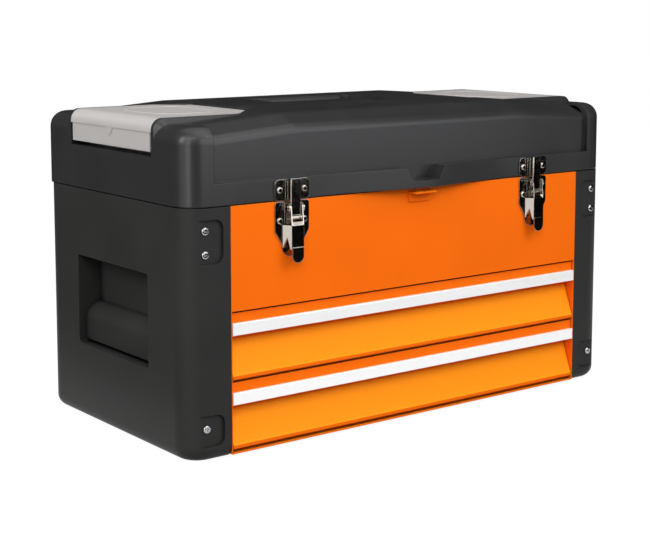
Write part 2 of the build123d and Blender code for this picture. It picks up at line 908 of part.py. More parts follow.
def padlock_tab():
    """The steel tab under the scoop of the lid, welded to the front panel."""
    z = body_height - padlock_tab_drop
    half = padlock_tab_width / 2
    outline = [
        (latch_y(padlock_tab_out), z),
        (latch_y(0), z),
        (latch_y(0), z - padlock_tab_leg),
    ]
    tab = prism_x(folded_sheet(outline, -latch_plate), -half, half)
    ends = tab.edges().filter_by(Axis.Z).group_by(Axis.Y)[0]
    tab = fillet(ends, padlock_tab_corner)
    hole = Pos(0, latch_y(padlock_tab_out / 2), z) * Cylinder(padlock_hole_radius, 4 * latch_plate)
    return tab - hole


# ---------------------------------------------------------------- lid
def dome_outline(inset, top):
    """A dome section in (y, z): upright front and back, and a top that slopes down to both."""
    front = front_y + dome_in + inset
    back = lid_back_y - (inset and lid_back_wall)
    high = top - inset
    edge = high - dome_slope_drop
    outline = [
        (front, seam - inset),
        (front, edge),
        (front + dome_slope_in, high),
        (back - dome_slope_in, high),
        (back, edge),
        (back, seam - inset),
    ]
    face = make_face(Polyline(*outline, close=True))
    corners = face.vertices().filter_by(lambda v: abs(v.Y - edge) < rest_gap)
    face = fillet(corners, dome_edge_radius)
    crests = face.vertices().filter_by(lambda v: abs(v.Y - high) < rest_gap)
    return fillet(crests, dome_top_radius)


def dome_plane(x):
    """The upright plane across the box at x."""
    return Plane(origin=(x, 0, 0), x_dir=(0, 1, 0), z_dir=(1, 0, 0))


def dome(inset):
    """The level middle of the lid and its two ramps, or the same form shrunk by an inset."""
    tall = dome_outline(inset, platform_z)
    short = dome_outline(inset, post_top)
    middle = extrude(dome_plane(-platform_half) * tall, amount=2 * platform_half)
    far = post_inner + cut_over
    ramp = loft([dome_plane(platform_half) * tall, dome_plane(far) * short], ruled=True)
    return middle + ramp + mirrored(ramp)


def end_post():
    """The right end of the lid, flush with the front and rounded all over its top."""
    post = block(post_inner, half_width, front_y, lid_back_y, seam, post_top)
    uprights = post.edges().filter_by(Axis.Z).group_by(Axis.X)[-1]
    post = fillet(uprights, corner_radius)
    top = post.edges().filter_by(lambda e: e.center().Z > post_top - rest_gap)
    top = top.filter_by(lambda e: e.center().X > post_inner + rest_gap)
    return fillet(top, post_radius)


def lid_rim():
    """The band round the foot of the lid, with the bulge at the middle of its front."""
    side = half_width - cut_over
    band = block(-side, side, front_y, lid_back_y, seam, rim_top)
    band = fillet(band.edges().filter_by(Axis.Z), corner_radius)
    half = bulge_half
    crest = front_y - bulge_out
    back = front_y + dome_in + cut_over
    curve = Spline((-half, front_y), (0, crest), (half, front_y), tangents=[(1, 0), (1, 0)])
    behind = Polyline((half, front_y), (half, back), (-half, back), (-half, front_y))
    swell = extrude(Pos(0, 0, seam) * make_face([curve, *behind.edges()]), amount=rim_height)
    return band + swell


def scoop():
    """The finger scoop cut down into the bulge."""
    floor = seam + scoop_floor
    outline = [
        (-scoop_top_half, rim_top + cut_over),
        (-scoop_bottom_half, floor),
        (scoop_bottom_half, floor),
        (scoop_top_half, rim_top + cut_over),
    ]
    face = plate_plane(bulge_out + cut_over) * make_face(Polyline(*outline, close=True))
    return extrude(face, amount=-(bulge_out + cut_over + dome_in))


def bin_plan(gap, corner_gap=0.0):
    """The plan of a bin well on the right, shrunk by gaps, as (x, y) points."""
    front = front_y + bin_front_in + gap
    back = front_y + bin_back_in - gap
    inner = bin_inner + gap
    straight = bin_inner + bin_straight + corner_gap
    narrow = bin_chamfer
    return [
        (inner, front + narrow),
        (straight, front + narrow),
        (straight + narrow, front),
        (half_width + cut_over, front),
        (half_width + cut_over, back),
        (straight + narrow, back),
        (straight, back - narrow),
        (inner, back - narrow),
    ]


def cover_section(inset, low, inner_x):
    """The filled section under a cover's outer surface, in (x, z), shrunk by an inset."""
    top = cover_top - inset
    outer = half_width - inset
    radius = cover_round - inset
    lines = [
        Line((inner_x, low), (inner_x, top)),
        Line((inner_x, top), (outer - radius, top)),
        RadiusArc((outer - radius, top), (outer, top - radius), radius),
        Line((outer, top - radius), (outer, low)),
        Line((outer, low), (inner_x, low)),
    ]
    return make_face(lines)


def across_y(face, y0, y1):
    """A section in (x, z) swept from y0 to y1."""
    plane = Plane(origin=(0, y1, 0), x_dir=(1, 0, 0), z_dir=(0, -1, 0))
    return extrude(plane * face, amount=y1 - y0)


def bin_rib():
    """The raised rib beside the front edge of the right cover."""
    y1 = front_y + bin_front_in
    low = (rim_top + post_top) / 2
    start = bin_inner + bin_straight + bin_chamfer
    rib = across_y(cover_section(0.0, low, start), y1 - rib_width, y1)
    front = rib.faces().sort_by(Axis.Y)[0].edges()
    crest = front.filter_by(lambda e: e.center().Z > cover_top - cover_round)
    crest = crest.filter_by(lambda e: e.center().X > start + rest_gap)
    return chamfer(crest, rib_chamfer)


def lid_hollow():
    """The space inside the lid."""
    front = front_y + dome_in + lid_wall
    back = lid_back_y - lid_back_wall
    side = half_width - lid_wall
    high = post_top - lid_wall
    end = block(post_inner, side, front, back, seam - cut_over, high)
    end = fillet(end.edges().filter_by(Axis.Z).group_by(Axis.X)[-1], corner_radius - lid_wall)
    crown = end.edges().filter_by(lambda e: e.center().Z > high - rest_gap)
    crown = crown.filter_by(lambda e: e.center().X > post_inner + rest_gap)
    end = fillet(crown, post_radius - lid_wall)
    return dome(lid_wall) + end + mirrored(end)


def handle_well(grow):
    """The recess of the carry handle, or a larger block round it."""
    well = block(
        -handle_well_half - grow,
        handle_well_half + grow,
        front_y + handle_well_front_in - grow,
        front_y + handle_well_back_in + grow,
        platform_z - handle_well_depth - grow,
        platform_z + cut_over,
    )
    return fillet(well.edges().filter_by(Axis.Z), handle_well_corner)


def well_rounding():
    """The cutter that rounds the back edge of the handle recess."""
    y = front_y + handle_well_back_in
    low = platform_z - well_round
    half = well_round_half
    corner = block(-half, half, y - cut_over, y + well_round, low, platform_z + cut_over)
    return corner - rod_x(well_round, -half, half, y + well_round, low)


def seam_groove_cut():
    """The cutter for the shadow groove round the front and the ends of the lid's foot."""
    side = half_width - seam_groove_in
    back = lid_back_y + cut_over
    low, high = seam - cut_over, seam + seam_groove
    inner = block(-side, side, front_y + seam_groove_in, back, low, high)
    fronts = inner.edges().filter_by(Axis.Z).group_by(Axis.Y)[0]
    inner = fillet(fronts, corner_radius - seam_groove_in)
    reach = half_width + cut_over
    return block(-reach, reach, front_y - bulge_out - cut_over, back, low, high) - inner


def hinge_pocket():
    """The recess in the back of the lid for one pair of hinge leaves."""
    half = hinge_width / 2 + hinge_pocket_gap
    return block(
        hinge_offset - half,
        hinge_offset + half,
        back_y,
        lid_back_y + cut_over,
        seam - cut_over,
        seam + hinge_lid_leaf_height + 2 * hinge_pocket_gap,
    )


def lid_shell():
    """The moulded lid."""
    lid = dome(0.0) + lid_rim()
    post = end_post()
    lid = lid + post + mirrored(post)
    rib = bin_rib()
    middle = Plane(origin=(0, front_y + (bin_front_in + bin_back_in) / 2, 0), z_dir=(0, 1, 0))
    for piece in (rib, mirror(rib, about=middle)):
        lid = lid + piece + mirrored(piece)
    well = prism_z(bin_plan(0.0), well_floor, platform_z + cut_over)
    wall = lid_wall + cut_over
    well_wall = prism_z(bin_plan(-wall), well_floor - lid_wall, platform_z + cut_over)
    hollow = lid_hollow() - well_wall - mirrored(well_wall) - handle_well(wall)
    lid -= hollow
    lid = lid - well - mirrored(well) - handle_well(0.0) - scoop()
    pocket = hinge_pocket()
    lid = lid - pocket - mirrored(pocket)
    lid = lid - well_rounding() - seam_groove_cut()
    lid -= Pos(0, latch_y(padlock_tab_out / 2), seam) * Cylinder(
        padlock_hole_radius, 4 * scoop_floor
    )
    pins = cover_pins(cover_pin_radius + running_gap, cover_pin_length + rest_gap)
    lid = lid - pins - mirrored(pins)
    lid -= handle_pin(1, running_gap) + handle_pin(-1, running_gap)
    for x, z in hinge_rivet_places(lid_leaf_rivet_z):
        lid -= rod_y(rivet_radius + running_gap, back_y - lid_back_wall, lid_back_y, x, z)
    for side in (-1, 1):
        for hand in (-1, 1):
            x = side * latch_offset + hand * latch_rivet_offset
            y0, y1 = front_y - cut_over, front_y + dome_in + lid_wall + cut_over
            lid -= rod_y(rivet_radius + running_gap, y0, y1, x, keeper_rivet_z())
    return lid


def cover_pins(radius, length):
    """The two stub pins of the right cover, or the holes for them."""
    y0 = front_y + bin_front_in + bin_chamfer
    y1 = front_y + bin_back_in - bin_chamfer
    shift = cover_gap + cut_over
    first = rod_y(radius, y0 - length, y0 + shift, cover_axis_x, cover_axis_z)
    second = rod_y(radius, y1 - shift, y1 + length, cover_axis_x, cover_axis_z)
    return first + second


def latch_tab(grow):
    """The small pointed tab at the middle of a cover's edge, (y, z) outline."""
    y = front_y + (bin_front_in + bin_back_in) / 2
    top = cover_top - cover_round - cover_flange + tab_lap
    half = tab_half + grow
    return [(y - half, top), (y, top - tab_height - grow), (y + half, top)]


def bin_cover():
    """The right bin cover: a thin rounded plate with a barrel along its inner edge."""
    low = cover_top - cover_round - cover_flange
    outer = across_y(cover_section(0.0, low, cover_axis_x), front_y, back_y)
    inner = across_y(cover_section(cover_thickness, low - cut_over, bin_inner), front_y, back_y)
    plan = prism_z(bin_plan(cover_gap, cover_corner_gap), low - cut_over, platform_z)
    plate = (outer - inner) & plan
    y0 = front_y + bin_front_in + bin_chamfer + cover_gap
    y1 = front_y + bin_back_in - bin_chamfer - cover_gap
    cover = plate + rod_y(cover_barrel_radius, y0, y1, cover_axis_x, cover_axis_z)
    cover += cover_pins(cover_pin_radius, cover_pin_length)
    face_x = half_width - tab_inset
    tab = prism_x(latch_tab(0.0), face_x - tab_thickness, face_x)
    return cover + tab


def bin_tray():
    """The right bin tray, which stands in its well and shows through the side of the lid."""
    low = well_floor + tray_lift
    inner_x = cover_axis_x + cover_barrel_radius + tray_hinge_gap
    step_z = cover_top - cover_round - cover_flange - rest_gap
    inset = cover_thickness + cover_gap
    upper = across_y(cover_section(inset, low, inner_x), front_y, back_y)
    lower = block(inner_x, half_width - cover_gap, front_y, back_y, low, step_z)
    outer = (upper + lower) & prism_z(bin_plan(tray_side_gap), low, platform_z)
    space = prism_z(bin_plan(tray_side_gap + tray_wall), low + tray_floor, platform_z)
    space &= block(
        inner_x + tray_wall, half_width - inset - tray_wall, front_y, back_y, low, platform_z
    )
    foot = block(inner_x, half_width - tray_foot_in, front_y, back_y, well_floor + rest_gap, low)
    foot &= prism_z(bin_plan(tray_foot_in / 2), well_floor, low)
    tab_back = half_width - tab_inset - tab_thickness - rest_gap
    notch = prism_x(latch_tab(2 * rest_gap), tab_back, half_width)
    return outer - space - notch + foot


# ---------------------------------------------------------------- carry handle
def handle_pin(side, grow):
    """A pivot pin of the carry handle, or with grow the hole for it."""
    middle = side * handle_well_half
    low = middle - handle_pin_length / 2 - grow
    high = middle + handle_pin_length / 2 + grow
    return rod_x(
        handle_pivot_radius + grow, low, high, front_y + handle_pivot_in, handle_pivot_z
    )


def handle_arm_at(side):
    """One arm of the handle, from the grip bar to its pivot."""
    half = handle_length / 2
    x0, x1 = sorted((side * half, side * (half - handle_arm)))
    pivot_y = front_y + handle_pivot_in
    bar_y = front_y + handle_bar_front_in + handle_round
    arm = block(x0, x1, pivot_y, bar_y, handle_top - handle_arm_height, handle_top)
    return arm + rod_x(handle_arm_height / 2, x0, x1, pivot_y, handle_pivot_z)


def carry_handle():
    """The folding handle: a grip bar with finger scallops, a thin plate and two arms."""
    half = handle_length / 2
    y0 = front_y + handle_bar_front_in
    y1 = y0 + handle_bar_width
    bar = block(-half, half, y0, y1, handle_top - handle_bar_height, handle_top)
    bar = fillet(bar.edges().filter_by(Axis.X), handle_round)
    for n in range(scallop_count):
        x = (n - (scallop_count - 1) / 2) * scallop_pitch
        y = y1 + scallop_radius - scallop_depth
        bar -= Pos(x, y, handle_top) * Cylinder(scallop_radius, 3 * handle_bar_height)
    web_y = front_y + handle_pivot_in - handle_web_front
    handle = bar + block(-half, half, web_y, y0 + handle_round, handle_top - handle_web, handle_top)
    for side in (-1, 1):
        handle += handle_arm_at(side)
    for side in (-1, 1):
        handle -= handle_pin(side, running_gap)
    return handle


# ---------------------------------------------------------------- lid hinges
def knuckle(x0, x1):
    """One knuckle of a hinge, bored for the pin."""
    tube = rod_x(knuckle_radius, x0, x1, hinge_y, seam)
    bore = rod_x(hinge_pin_radius + running_gap, x0 - cut_over, x1 + cut_over, hinge_y, seam)
    return tube - bore


def hinge_spans():
    """(x0, x1) of the outer, middle and outer knuckles of the right hinge."""
    left = hinge_offset - hinge_width / 2
    right = hinge_offset + hinge_width / 2
    middle0 = hinge_offset - knuckle_middle / 2
    middle1 = hinge_offset + knuckle_middle / 2
    return [(left, middle0 - knuckle_gap), (middle0, middle1), (middle1 + knuckle_gap, right)]


def body_leaf():
    """The right hinge leaf on the back panel, with two knuckles."""
    spans = hinge_spans()
    top = seam - knuckle_radius - knuckle_gap
    leaf = block(
        spans[0][0],
        spans[2][1],
        back_y,
        back_y + hinge_leaf,
        body_height - hinge_body_leaf_height,
        top,
    )
    for x0, x1 in (spans[0], spans[2]):
        web = block(x0, x1, back_y, back_y + hinge_leaf, top - cut_over, seam)
        leaf += knuckle(x0, x1) + web
    for x, z in hinge_rivet_places(body_leaf_rivet_z):
        leaf -= rod_y(rivet_radius + running_gap, back_y - cut_over, back_y + 2 * hinge_leaf, x, z)
    return leaf


def lid_leaf():
    """The right hinge leaf on the lid, with the middle knuckle."""
    spans = hinge_spans()
    low = seam + knuckle_radius + knuckle_gap
    leaf = block(
        spans[0][0],
        spans[2][1],
        back_y,
        back_y + hinge_leaf,
        low,
        seam + hinge_lid_leaf_height,
    )
    x0, x1 = spans[1]
    leaf += knuckle(x0, x1) + block(x0, x1, back_y, back_y + hinge_leaf, seam, low + cut_over)
    for x, z in hinge_rivet_places(lid_leaf_rivet_z):
        leaf -= rod_y(rivet_radius + running_gap, back_y - cut_over, back_y + 2 * hinge_leaf, x, z)
    return leaf


def hinge_pin():
    """The pin of the right hinge."""
    spans = hinge_spans()
    return rod_x(hinge_pin_radius, spans[0][0], spans[2][1], hinge_y, seam)


# ---------------------------------------------------------------- all pieces
right_panel = end_panel()
right_wall = side_wall()
right_cover = bin_cover()
right_tray = bin_tray()
latch_rivet_y = front_y - latch_plate

pieces = {
    "end_panel_right": right_panel,
    "end_panel_left": mirrored(right_panel),
    "end_panel_screws": at_both_ends(group([panel_screw(x, z) for x, z in screw_places()])),
    "corner_brackets": at_both_ends(corner_bracket()),
    "side_wall_right": right_wall,
    "side_wall_left": mirrored(right_wall),
    "front_panel": front_panel(),
    "back_panel": back_panel(),
    "bottom_pan": bottom_pan(),
    "compartment_floor": compartment_floor(),
    "padlock_tab": padlock_tab(),
    "latch_base_rivets": group(
        [rivet(x, latch_rivet_y, z, -1, latch_plate + sheet) for x, z in latch_rivet_places()]
    ),
    "keeper_rivets": group(
        [
            rivet(
                side * latch_offset + hand * latch_rivet_offset,
                latch_rivet_y,
                keeper_rivet_z(),
                -1,
                latch_plate + dome_in + lid_wall,
            )
            for side in (-1, 1)
            for hand in (-1, 1)
        ]
    ),
    "lid_shell": lid_shell(),
    "bin_cover_right": right_cover,
    "bin_cover_left": mirrored(right_cover),
    "bin_tray_right": right_tray,
    "bin_tray_left": mirrored(right_tray),
    "carry_handle": carry_handle(),
    "handle_pins": group([handle_pin(side, 0.0) for side in (-1, 1)]),
    "hinge_body_leaves": on_both_sides(body_leaf()),
    "hinge_lid_leaves": on_both_sides(lid_leaf()),
    "hinge_pins": on_both_sides(hinge_pin()),
    "hinge_body_rivets": group(
        [
            rivet(x, back_y + hinge_leaf, z, 1, hinge_leaf + sheet)
            for x, z in hinge_rivet_places(body_leaf_rivet_z)
        ]
    ),
    "hinge_lid_rivets": group(
        [
            rivet(x, back_y + hinge_leaf, z, 1, hinge_leaf + lid_back_wall - lid_back_overhang)
            for x, z in hinge_rivet_places(lid_leaf_rivet_z)
        ]
    ),
}
for level, foot in drawer_feet.items():
    rail = slide_rail(foot)
    runner = slide_runner(foot)
    pieces[f"{level}_rail_right"] = rail
    pieces[f"{level}_rail_left"] = mirrored(rail)
    pieces[f"{level}_runner_right"] = runner
    pieces[f"{level}_runner_left"] = mirrored(runner)
    pieces[f"{level}_drawer_box"] = drawer_box(foot)
    pieces[f"{level}_drawer_front"] = drawer_front(foot)
    pieces[f"{level}_drawer_pull"] = pull_strip(foot)
    pieces[f"{level}_drawer_rivets"] = drawer_rivets(foot)
for hand, side in (("left", -1), ("right", 1)):
    pieces[f"latch_base_{hand}"] = latch_base(side)
    pieces[f"latch_lever_{hand}"] = latch_lever(side)
    pieces[f"latch_lever_pins_{hand}"] = lever_pins(side)
    pieces[f"latch_claw_{hand}"] = latch_claw(side)
    pieces[f"latch_claw_pin_{hand}"] = claw_pin(side)
    pieces[f"keeper_{hand}"] = keeper(side)

os.makedirs("parts", exist_ok=True)
for name, shape in pieces.items():
    export_step(shape, f"parts/{name}.step")
    print(name, len(shape.solids()), round(shape.volume))
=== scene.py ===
# %% [markdown]
# # A portable tool box with two drawers
# The steel and plastic pieces come in ready made, at their real size and in metres. This
# lesson gives each of them the finish it has on the real box, adds the ribs of the bin
# covers, and lights the box like a product on a white table.

# %% Load the model
import bpy
import bmesh
import json
import math
from mathutils import Matrix, Vector


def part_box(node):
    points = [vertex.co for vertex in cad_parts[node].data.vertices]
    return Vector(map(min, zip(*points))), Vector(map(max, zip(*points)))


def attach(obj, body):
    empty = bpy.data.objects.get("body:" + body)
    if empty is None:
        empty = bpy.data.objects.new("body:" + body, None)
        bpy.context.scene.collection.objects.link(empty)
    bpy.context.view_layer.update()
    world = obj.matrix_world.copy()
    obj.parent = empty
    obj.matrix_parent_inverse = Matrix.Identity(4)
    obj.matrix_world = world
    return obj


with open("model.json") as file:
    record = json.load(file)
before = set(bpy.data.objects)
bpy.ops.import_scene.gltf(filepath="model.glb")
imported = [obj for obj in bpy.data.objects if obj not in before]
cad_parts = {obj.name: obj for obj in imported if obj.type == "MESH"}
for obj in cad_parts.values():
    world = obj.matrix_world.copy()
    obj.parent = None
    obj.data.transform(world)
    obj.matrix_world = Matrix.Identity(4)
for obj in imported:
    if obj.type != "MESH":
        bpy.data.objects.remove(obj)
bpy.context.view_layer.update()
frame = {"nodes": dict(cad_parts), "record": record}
nodes = frame["nodes"]

MM = 0.001

# %% [markdown]
# ## Colours and nodes
# Colours are written as a designer would write them, in hex, and Blender wants linear
# values, so one function converts them. A second function adds a shader node, sets its
# values and links what feeds it, which keeps every material below to a few lines.

# %% Helpers for materials
def colour(hex_text):
    """A linear RGBA colour from an sRGB hex value."""
    channels = [int(hex_text[i:i + 2], 16) / 255 for i in (1, 3, 5)]
    linear = [c / 12.92 if c <= 0.04045 else ((c + 0.055) / 1.055) ** 2.4 for c in channels]
    return (*linear, 1.0)


def node(tree, kind, values=None, links=None, **settings):
    """Adds one shader node, sets its options and values, and links its inputs."""
    made = tree.nodes.new(kind)
    for name, value in settings.items():
        setattr(made, name, value)
    for name, value in (values or {}).items():
        made.inputs[name].default_value = value
    for name, source in (links or {}).items():
        tree.links.new(source, made.inputs[name])
    return made


def new_material(name, values):
    """A material with only a Principled shader and an output."""
    material = bpy.data.materials.new(name)
    material.use_nodes = True
    tree = material.node_tree
    tree.nodes.clear()
    shader = node(tree, "ShaderNodeBsdfPrincipled", values)
    node(tree, "ShaderNodeOutputMaterial", links={"Surface": shader.outputs["BSDF"]})
    place = node(tree, "ShaderNodeTexCoord").outputs["Object"]
    return material, tree, shader, place


def noise(tree, place, size_mm, detail=2.0, stretch=(1, 1, 1)):
    """Noise whose blotches are about size_mm across, stretched along an axis if asked."""
    mapped = node(tree, "ShaderNodeMapping", {"Scale": stretch}, {"Vector": place})
    values = {"Scale": 1 / (size_mm * MM), "Detail": detail, "Roughness": 0.5}
    made = node(tree, "ShaderNodeTexNoise", values, {"Vector": mapped.outputs["Vector"]})
    return made.outputs["Fac"]


def spread(tree, value, low, high, start=0.3, end=0.7):
    """Maps a 0 to 1 pattern onto a range."""
    values = {"From Min": start, "From Max": end, "To Min": low, "To Max": high}
    return node(tree, "ShaderNodeMapRange", values, {"Value": value}).outputs["Result"]


def bump(tree, height, depth_mm, edge_mm=0.4):
    """A bump of a real depth, over edges that are rounded by a little."""
    edges = node(tree, "ShaderNodeBevel", {"Radius": edge_mm * MM}, samples=6)
    values = {"Strength": 1.0, "Distance": depth_mm * MM}
    links = {"Height": height, "Normal": edges.outputs["Normal"]}
    return node(tree, "ShaderNodeBump", values, links).outputs["Normal"]


def mottled(tree, pattern, hex_text, drift):
    """A colour that drifts a little darker and lighter with a 0 to 1 pattern."""
    base = Vector(colour(hex_text)[:3])
    ramp = node(tree, "ShaderNodeValToRGB", links={"Fac": pattern})
    stops = ramp.color_ramp.elements
    stops[0].position, stops[1].position = 0.3, 0.7
    stops[0].color = (*(base * (1 - drift)), 1)
    stops[1].color = (*(base * (1 + drift)), 1)
    return ramp.outputs["Color"]


def seen_directly(tree):
    """1 for rays of the camera, of reflections and through clear plastic, and 0 for light."""
    path = node(tree, "ShaderNodeLightPath")
    seen = path.outputs["Is Camera Ray"]
    for kind in ("Is Glossy Ray", "Is Transmission Ray"):
        links = {0: seen, 1: path.outputs[kind]}
        seen = node(tree, "ShaderNodeMath", links=links, operation="MAXIMUM").outputs[0]
    return seen


def painted_recess_shade(tree, skin, dark, reach_mm, start, end):
    """Painted shade: mixes a colour towards a dark one where the surface is tucked in, as in a fold
    or recess.
    """
    closeness = node(tree, "ShaderNodeAmbientOcclusion", {"Distance": reach_mm * MM}, samples=8)
    open_share = spread(tree, closeness.outputs["AO"], 0.0, 1.0, start=start, end=end)
    shaded = node(tree, "ShaderNodeMix", links={"Factor": open_share}, data_type="RGBA")
    shaded.inputs["A"].default_value = dark
    tree.links.new(skin, shaded.inputs["B"])
    return shaded.outputs["Result"]


# %% [markdown]
# ## Moulded black plastic
# The end panels and the lid are injection moulded, in a black polypropylene with a fine
# spark-eroded grain. The grain breaks up highlights, so the plastic looks satin. It is
# about 0.3 mm across, too fine to show from a step away, so it is drawn at 0.9 mm. Recesses
# get painted shade: their colour darkens towards near black, as deep recesses look in shade.

# %% Black plastic
def moulded_plastic(name, hex_text, roughness, grain_mm, depth_mm, shine):
    """Satin moulded plastic with a spark-eroded grain."""
    values = {"IOR": 1.4, "Specular IOR Level": shine}
    material, tree, shader, place = new_material(name, values)
    fine = noise(tree, place, grain_mm, detail=3.0)
    broad = noise(tree, place, 60, detail=2.0)
    # painted shade: the colour darkens towards near black #060606 in recesses
    skin = painted_recess_shade(tree, mottled(tree, broad, hex_text, 0.07), colour("#060606"), 9, 0.15, 0.8)
    tree.links.new(skin, shader.inputs["Base Color"])
    polish = spread(tree, broad, roughness - 0.03, roughness + 0.03)
    tree.links.new(polish, shader.inputs["Roughness"])
    tree.links.new(bump(tree, fine, depth_mm, edge_mm=0.8), shader.inputs["Normal"])
    return material


panel_plastic = moulded_plastic("black grained polypropylene", "#2B2B2A", 0.46, 0.9, 0.03, 0.15)
lid_plastic = moulded_plastic("black satin polypropylene", "#2A2A2A", 0.31, 0.9, 0.012, 0.5)
handle_plastic = moulded_plastic("black handle plastic", "#262627", 0.36, 0.9, 0.025, 0.5)
print("plastics:", panel_plastic.name, "and", lid_plastic.name)

# %% [markdown]
# ## Orange baked enamel
# The cabinet is sheet steel with a baked enamel. Sprayed enamel levels out with a slight
# orange-peel ripple about 2 mm across. The box shows hardly any reflection in its paint, so
# the specular level is set far below an enamel's usual one. Faces that look up are painted
# yellower and folds browner, which stands in for studio light that isn't rebuilt here.

# %% Orange enamel
def baked_enamel(name, hex_text, top_light_hex, fold_shade_hex):
    """Semi-gloss enamel with a faint orange peel, with painted light making it yellower where a
    face looks up.
    """
    values = {"Roughness": 0.42, "IOR": 1.5, "Specular IOR Level": 0.02}
    material, tree, shader, place = new_material(name, values)
    peel = noise(tree, place, 2.2, detail=1.0)
    drift = noise(tree, place, 90, detail=1.0)
    facing = node(tree, "ShaderNodeNewGeometry").outputs["Normal"]
    upward = node(tree, "ShaderNodeSeparateXYZ", links={"Vector": facing}).outputs["Z"]
    # painted light: faces that look up mix towards a yellower, lighter orange
    top_light_share = spread(tree, upward, 0.0, 1.0, start=0.05, end=0.3)
    mix = node(tree, "ShaderNodeMix", links={"Factor": top_light_share}, data_type="RGBA")
    tree.links.new(mottled(tree, drift, hex_text, 0.03), mix.inputs["A"])
    mix.inputs["B"].default_value = colour(top_light_hex)
    # painted shade: folds and narrow gaps darken towards brown
    skin = painted_recess_shade(tree, mix.outputs["Result"], colour(fold_shade_hex), 5, 0.1, 0.55)
    tree.links.new(skin, shader.inputs["Base Color"])
    tree.links.new(bump(tree, peel, 0.012), shader.inputs["Normal"])
    return material


# FF9618 is painted light on faces that look up, and #6A1C02 is painted shade in folds
orange_enamel = baked_enamel("orange baked enamel", "#FD7010", "#FF9618", "#6A1C02")
print("enamel:", orange_enamel.name)

# %% [markdown]
# ## Metals
# The pull strips are bright anodised aluminium, drawn through a die, so fine lines run along
# their length. They look almost white, which a low metallic value gives more easily than a
# true metal. The latches are bright nickel plate, nearly a mirror. Slides and hinges are zinc
# plated, which is duller and slightly blotchy, and the screws are zinc with a bright polish.

# %% Metals
def drawn_aluminium(name, hex_text):
    """Anodised aluminium with fine lines along X."""
    material, tree, shader, place = new_material(name, {"Metallic": 0.35})
    shader.inputs["Base Color"].default_value = colour(hex_text)
    lines = noise(tree, place, 0.6, detail=2.0, stretch=(0.01, 1, 1))
    tree.links.new(spread(tree, lines, 0.30, 0.42), shader.inputs["Roughness"])
    tree.links.new(bump(tree, lines, 0.008), shader.inputs["Normal"])
    return material


def plated_steel(name, hex_text, low, high, blotch_mm):
    """Plated steel, whose plating varies a little in its polish."""
    material, tree, shader, place = new_material(name, {"Metallic": 1.0})
    shader.inputs["Base Color"].default_value = colour(hex_text)
    blotches = noise(tree, place, blotch_mm, detail=3.0)
    tree.links.new(spread(tree, blotches, low, high), shader.inputs["Roughness"])
    tree.links.new(bump(tree, blotches, 0.01), shader.inputs["Normal"])
    return material


aluminium = drawn_aluminium("bright anodised aluminium", "#FFFFFF")
nickel = plated_steel("bright nickel plate", "#BDB6AD", 0.04, 0.09, 5)
zinc = plated_steel("zinc plated steel", "#B9BBBE", 0.30, 0.45, 3)
screw_zinc = plated_steel("bright zinc screws", "#A6A7A8", 0.05, 0.10, 2)
print("metals: 4")

# %% [markdown]
# ## Frosted plastic
# The bins are moulded in natural polypropylene without pigment. It lets light through but
# scatters it, so the bins look milky grey over the black lid.

# %% Frosted plastic
def frosted_plastic(name, hex_text):
    """Milky, unpigmented plastic that lets some light through."""
    values = {"IOR": 1.49, "Transmission Weight": 0.35, "Roughness": 0.42}
    material, tree, shader, place = new_material(name, values)
    shader.inputs["Base Color"].default_value = colour(hex_text)
    haze = noise(tree, place, 1.2, detail=2.0)
    tree.links.new(bump(tree, haze, 0.015), shader.inputs["Normal"])
    return material


frosted = frosted_plastic("frosted polypropylene", "#C4C0BE")
print("frosted:", frosted.name)

# %% [markdown]
# ## Finishes for the ready-made pieces
# Each piece names the slot it takes its finish from, and each slot has one material here.

# %% Give every piece its material
finishes = {
    "black_plastic": panel_plastic,
    "handle_plastic": handle_plastic,
    "orange_enamel": orange_enamel,
    "aluminium_strip": aluminium,
    "latch_nickel": nickel,
    "screw_steel": screw_zinc,
    "zinc_steel": zinc,
    "frosted_plastic": frosted,
}
slot_of = {part["node"]: part["material_slot"] for part in frame["record"]["subparts"]}
for name, piece in nodes.items():
    piece.data.materials.clear()
    piece.data.materials.append(finishes[slot_of[name]])
nodes["lid_shell"].data.materials[0] = lid_plastic
for level in ("upper", "lower"):
    nodes[f"{level}_drawer_rivets"].data.materials[0] = orange_enamel
print("finished pieces:", len(nodes))

# %% [markdown]
# ## Ribs on the bin covers
# Each bin cover has a long oval rib on top, and a small rib that follows the edge of its
# tab. A rib is a smooth curve with a round section, half sunk in the surface.

# %% Moulded ribs
def moulded_rib(name, run, closed, body, width_mm):
    """A rounded rib along a run of control points, given in millimetres."""
    curve = bpy.data.curves.new(name, "CURVE")
    curve.dimensions = "3D"
    curve.bevel_depth = width_mm * MM / 2
    curve.bevel_resolution = 3
    spline = curve.splines.new("NURBS")
    spline.points.add(len(run) - 1)
    for point, place in zip(spline.points, run):
        point.co = (*(Vector(place) * MM), 1.0)
    spline.order_u = 3
    spline.use_cyclic_u = closed
    spline.use_endpoint_u = not closed
    rib = bpy.data.objects.new(name, curve)
    bpy.context.scene.collection.objects.link(rib)
    curve.materials.append(frosted)
    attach(rib, body)
    return rib


